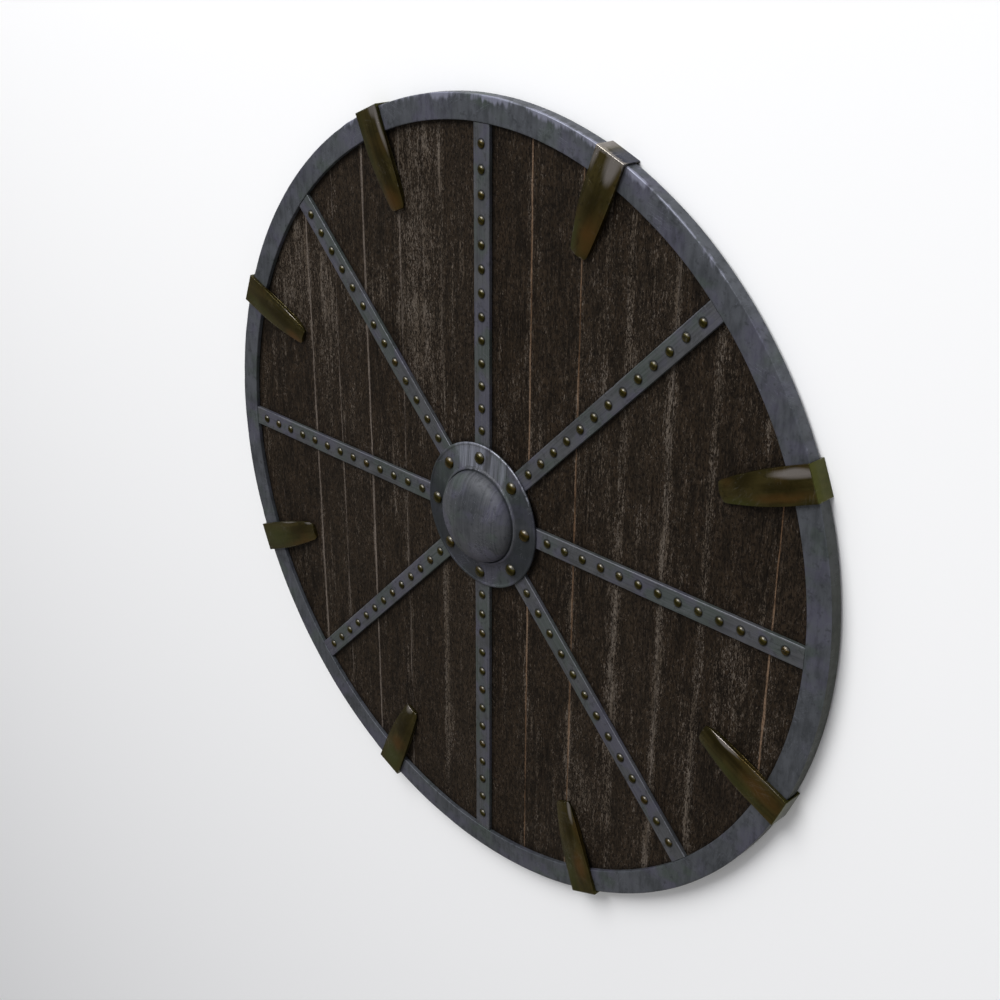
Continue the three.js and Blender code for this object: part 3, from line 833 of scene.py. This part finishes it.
piece("boss_pressing", moved, faces, BOSS_STEEL, ["boss"], values={"wear_and_highlight": wear_and_highlight, "polish_and_highlight": polish_and_highlight, "tarnish_and_shade": tarnish_and_shade}, sharp=45)

for number in range(8):
    spin = number * math.pi / 4
    on_grip = number in (0, 4)
    tail = (grip_low[2] if on_grip else BOARD_BACK) + 0.05
    seat = 18.4 + math.tan(FLANGE_SLOPE) * (76.2 - BOSS_RIVET_AT) + 0.1
    some, faces = rivet(BOSS_RIVET_R, BOSS_RIVET_H, 0.0, tail - seat, 0.55 if on_grip else 1.2, 32)
    values = rivet_values(some, BOSS_RIVET_R, 0.0, spin)
    points = []
    for px, py, pz in some:
        if pz > -1:
            px, pz = px * math.cos(FLANGE_SLOPE) + pz * math.sin(FLANGE_SLOPE), pz * math.cos(FLANGE_SLOPE) - px * math.sin(FLANGE_SLOPE)
        points.append((px + BOSS_RIVET_AT, py, pz + seat))
    flow = [(px, py, pz + 900.0 + number * 77.0) for px, py, pz in points]
    piece(f"boss_stud_{number + 1}", points, faces, RIVET_BRASS, [f"boss_rivet_{number + 1}"], spin, flow, values=values)

# ---------------------------------------------------------------- clips


def leaf_top(r):
    u = min(1.0, max(0.0, (r - CLIP_TIP) / (RIM_IN - CLIP_TIP)))
    return CLIP_TIP_Z + (CLIP_TOP - CLIP_TIP_Z) * math.sin(u * math.pi / 2)


def leaf_half(r):
    u = min(1.0, max(0.0, (r - CLIP_TIP) / (RIM_IN - CLIP_TIP)))
    near = min(1.0, max(0.0, (r - CLIP_TIP) / 5.0))
    return 17.0 * (0.6 + 0.4 * math.sin(u * math.pi / 2)) * (0.74 + 0.26 * math.sqrt(1 - (1 - near) ** 2))


ACROSS = [-1.0, -0.95, -0.87, -0.75, -0.6, -0.4, -0.2, 0.0, 0.2, 0.4, 0.6, 0.75, 0.87, 0.95, 1.0]
leaf_r = [CLIP_TIP, CLIP_TIP + 0.4, CLIP_TIP + 1.2, CLIP_TIP + 2.6, CLIP_TIP + 5]
leaf_r += [CLIP_TIP + 5 + (CLIP_OUT - 2.0 - CLIP_TIP - 5) * k / 22 for k in range(1, 23)]
# Painted highlights and reflections with some rubbing, painted shade, and amber and green stains on each clip: what,
# radius from the middle of the shield, place across the leaf, reach along and across, amount.
CLIP_MARKS = (
    (("polish_and_highlight", 412, 11, 36, 6.5, 1.0), ("tarnish_and_shade", 352, 7, 24, 8, 0.9), ("tarnish_and_shade", 394, 1, 34, 5, 0.8),
     ("amber", 392, -9, 34, 4.5, 0.9), ("green", 340, -12, 26, 7, 0.8), ("amber", 332, 8, 9, 6, 0.4)),
    (("polish_and_highlight", 418, -7, 26, 12, 1.0), ("polish_and_highlight", 420, 13, 26, 5, 0.8), ("tarnish_and_shade", 374, 2, 22, 14, 0.9),
     ("amber", 346, -6, 20, 10, 0.8), ("green", 336, 12, 22, 7, 0.9)),
    (("polish_and_highlight", 416, -14, 60, 4.5, 0.9), ("polish_and_highlight", 424, -9, 14, 8, 0.8), ("tarnish_and_shade", 370, -2, 32, 8, 0.8),
     ("amber", 334, 2, 16, 12, 0.8), ("green", 400, 13, 40, 6, 0.4)),
    (("polish_and_highlight", 345, -13, 34, 2.6, 0.8), ("tarnish_and_shade", 372, 0, 52, 7, 0.8), ("amber", 335, 9, 15, 7, 1.0),
     ("green", 404, 10, 34, 9, 0.6)),
    (("polish_and_highlight", 330, -13, 12, 6, 1.0), ("polish_and_highlight", 360, -16, 44, 2.4, 0.8), ("tarnish_and_shade", 350, -4, 34, 7, 0.9),
     ("amber", 350, 13, 30, 5, 0.5), ("green", 404, 2, 40, 17, 0.8)),
    (("polish_and_highlight", 322, -2, 14, 9, 0.9), ("tarnish_and_shade", 354, 0, 18, 13, 0.9), ("amber", 381, 2, 12, 13, 0.8),
     ("green", 412, 0, 28, 18, 1.0)),
    (("polish_and_highlight", 330, 10, 24, 4.5, 0.8), ("tarnish_and_shade", 352, 2, 28, 7, 0.9), ("amber", 394, 7, 17, 9, 0.9),
     ("green", 412, -11, 34, 8, 0.9)),
    (("polish_and_highlight", 345, 14, 30, 3.0, 1.0), ("polish_and_highlight", 400, 16, 40, 2.0, 0.6), ("tarnish_and_shade", 356, 7, 44, 5.5, 0.9),
     ("amber", 406, 4, 28, 9, 0.8), ("green", 372, -11, 50, 7, 0.7)),
)


def clip_mark(number, key, r, y):
    most = 0.0
    for what, at_r, at_y, reach_r, reach_y, amount in CLIP_MARKS[number]:
        if what == key:
            away_r = (r - at_r + 5.0 * waves(y * 0.11, r * 0.02, number * 7.0)) / reach_r
            away_y = (y - at_y + 3.0 * waves(r * 0.045, y * 0.05, number * 3.0 + 50)) / reach_y
            most = max(most, amount * (1 - soft(0.15, 1.35, math.hypot(away_r, away_y))))
    return most


for number in range(8):
    spin = (number + 0.5) * math.pi / 4
    rng = random.Random(300 + number)
    dents = rng.uniform(0, 50)
    lean = rng.uniform(-0.25, 0.25)
    outline = [(CLIP_OUT, 0.05), (CLIP_OUT, 6.0), (CLIP_OUT, 12.0), (CLIP_OUT, CLIP_TOP - 0.9), (CLIP_OUT - 0.35, CLIP_TOP - 0.25), (CLIP_OUT - 1.0, CLIP_TOP)]
    kinds = ["side"] * 5 + ["top"]
    outline += [(r, leaf_top(r)) for r in reversed(leaf_r)]
    kinds += ["top"] * len(leaf_r)
    outline += [
        (CLIP_TIP, BOARD_FRONT + 0.4),
        (CLIP_TIP + 10, BOARD_FRONT + 0.3),
        (CLIP_TIP + 20, BOARD_FRONT + 0.35),
        (CLIP_TIP + 48, BOARD_FRONT + 3.2),
        (RIM_IN - 1, RIM_FRONT + 0.3),
        (RIM_R - 6, RIM_FRONT + 0.3),
        (RIM_R + 0.3, RIM_FRONT + 0.3),
        (RIM_R + 0.3, RIM_BACK - 0.3),
        (RIM_R - 12, RIM_BACK - 0.3),
        (388.0, RIM_BACK - 0.3),
        (388.0, 0.05),
        (405.0, 0.0),
    ]
    kinds += ["under"] * 12
    points, flow, rows = [], [], []
    values = {"wear_and_highlight": [], "polish_and_highlight": [], "tarnish_and_shade": [], "amber": [], "green": [], "blue_reflection": []}
    for (r, z), kind in zip(outline, kinds):
        row = []
        for a in ACROSS:
            lift = 0.0
            if kind == "top":
                crown = min(1.0, max(0.0, (CLIP_OUT - 0.6 - r) / 25))
                lift = 1.4 * crown * (0.4 - a * a)
                lift -= 0.16 * (0.5 + waves(r * 0.05, a * 1.3, dents)) * crown
            y = a * leaf_half(r) + lean * soft(400, 330, r)
            row.append(len(points))
            points.append((r, y, z + lift))
            flow.append((r, y, z + 1500.0 + number * 61.0))
            tip = 1 - soft(0, 5, r - CLIP_TIP)
            fold = (1.0 if number == 1 else 0.1) * soft(422, 425.5, r) if z > CLIP_TOP - 1.0 else 0.0
            values["wear_and_highlight"].append(max(0.45 * soft(0.8, 1.0, abs(a)), 0.45 * tip, 0.9 * fold) if kind != "under" else 0.0)
            for key in ("polish_and_highlight", "tarnish_and_shade", "amber", "green"):
                values[key].append(clip_mark(number, key, r, y) if kind == "top" else 0.0)
            values["blue_reflection"].append(0.0)
            # Painted reflection on the outer side of clip 2: blue on one half, pale on the other.
            if kind == "side" and number == 1:
                values["blue_reflection"][-1] = 1 - soft(-0.2, 0.6, a)
                values["polish_and_highlight"][-1] = 0.8 * soft(-0.1, 0.8, a)
            elif kind == "side":
                values["green"][-1] = 0.7
        rows.append(row)
    faces = rings(rows, True, closed_columns=False)
    first = [row[0] for row in rows]
    last = [row[-1] for row in rows]
    faces.append(tuple(first))
    faces.append(tuple(reversed(last)))
    clip = piece(f"rim_clip_{number + 1}", points, faces, BRASS, [f"clip_{number + 1}"], spin, flow, values=values, sharp=30)
    bevel = clip.modifiers.new("edges", "BEVEL")
    bevel.width = 0.35 * MM
    bevel.segments = 2
    bevel.limit_method = "ANGLE"
    bevel.angle_limit = math.radians(38)

# ---------------------------------------------------------------- grip

half_long = grip_high[0]
half_wide = grip_high[1]
low, top = grip_low[2], BOARD_BACK - 0.3
handle_top = grip_high[2]
shoulder = 33.0
stations = [-half_long + half_long * 2 * k / 120 for k in range(121)]
points, flow, rows, wear_and_highlight = [], [], [], []
for x in stations:
    bulge = 1 - soft(shoulder, shoulder + 12, abs(x))
    high = top + (handle_top - top) * bulge
    middle = (high + low) / 2
    row = []
    for k in range(28):
        a = 2 * math.pi * k / 28
        power = 1.0 - 0.72 * (1 - bulge)
        cy = math.copysign(abs(math.cos(a)) ** power, math.cos(a))
        cz = math.copysign(abs(math.sin(a)) ** (power if bulge < 0.5 else 1.0), math.sin(a))
        hammer = 1 - 0.02 * (0.5 + waves(x * 0.07, k * 0.35, 6.0))
        row.append(len(points))
        points.append((x, half_wide * cy * hammer, middle + (high - low) / 2 * cz * hammer))
        flow.append((x, half_wide * cy, 3000.0 + middle))
        wear_and_highlight.append(0.35 * bulge + 0.1)
    rows.append(row)
faces = rings(rows, False)
faces.append(tuple(rows[0]))
faces.append(tuple(reversed(rows[-1])))
faces = [tuple(reversed(f)) for f in faces]
piece("hand_grip", points, faces, IRON, ["grip"], 0.0, flow, values={"wear_and_highlight": wear_and_highlight})

# ---------------------------------------------------------------- floor and light

floor_mesh = bpy.data.meshes.new("floor")
S = 30.0
floor_mesh.from_pydata([(-S, -S, 0), (S, -S, 0), (S, S, 0), (-S, S, 0)], [], [(0, 1, 2, 3)])
floor = bpy.data.objects.new("floor", floor_mesh)
floor.location.z = -0.0002
bpy.context.scene.collection.objects.link(floor)
paper = Maker("pale_floor")
paper.shader.inputs["Base Color"].default_value = (0.86, 0.86, 0.86, 1)
paper.shader.inputs["Roughness"].default_value = 0.95
paper.shader.inputs["Specular IOR Level"].default_value = 0.1
floor_mesh.materials.append(paper.material)


def lamp(name, towards, distance, size, power, colour=(1, 1, 1)):
    data = bpy.data.lights.new(name, "AREA")
    data.shape = "DISK"
    data.size = size
    data.energy = power
    data.color = colour
    thing = bpy.data.objects.new(name, data)
    bpy.context.scene.collection.objects.link(thing)
    way = Vector(towards).normalized()
    thing.location = way * distance
    thing.rotation_mode = "QUATERNION"
    thing.rotation_quaternion = way.to_track_quat("Z", "Y")
    return thing


lamp("key", (-0.12, 0.80, 0.64), 5.0, 3.4, 262)
lamp("fill", (0.9, -0.5, 1.3), 3.5, 4.5, 14, (0.97, 0.98, 1.0))
lamp("low", (-0.10, 0.97, 0.20), 3.0, 1.5, 5, (1.0, 0.98, 0.98))

world = bpy.data.worlds.new("studio")
world.use_nodes = True
tree = world.node_tree
place = tree.nodes.new("ShaderNodeTexCoord")
apart = tree.nodes.new("ShaderNodeSeparateXYZ")
tree.links.new(place.outputs["Generated"], apart.inputs[0])
ramp = tree.nodes.new("ShaderNodeValToRGB")
rescale = tree.nodes.new("ShaderNodeMapRange")
rescale.inputs["From Min"].default_value = -1.0
tree.links.new(apart.outputs[1], rescale.inputs["Value"])
tree.links.new(rescale.outputs[0], ramp.inputs[0])
stops = ramp.color_ramp.elements
stops[0].position, stops[0].color = 0.15, (0.30, 0.285, 0.26, 1)
stops[1].position, stops[1].color = 0.80, (0.66, 0.68, 0.74, 1)
for at, tint in ((0.36, (0.27, 0.26, 0.25, 1)), (0.52, (0.22, 0.225, 0.235, 1))):
    stop = stops.new(at)
    stop.color = tint
tree.links.new(ramp.outputs[0], tree.nodes["Background"].inputs[0])
tree.nodes["Background"].inputs[1].default_value = 1.0
bpy.context.scene.world = world
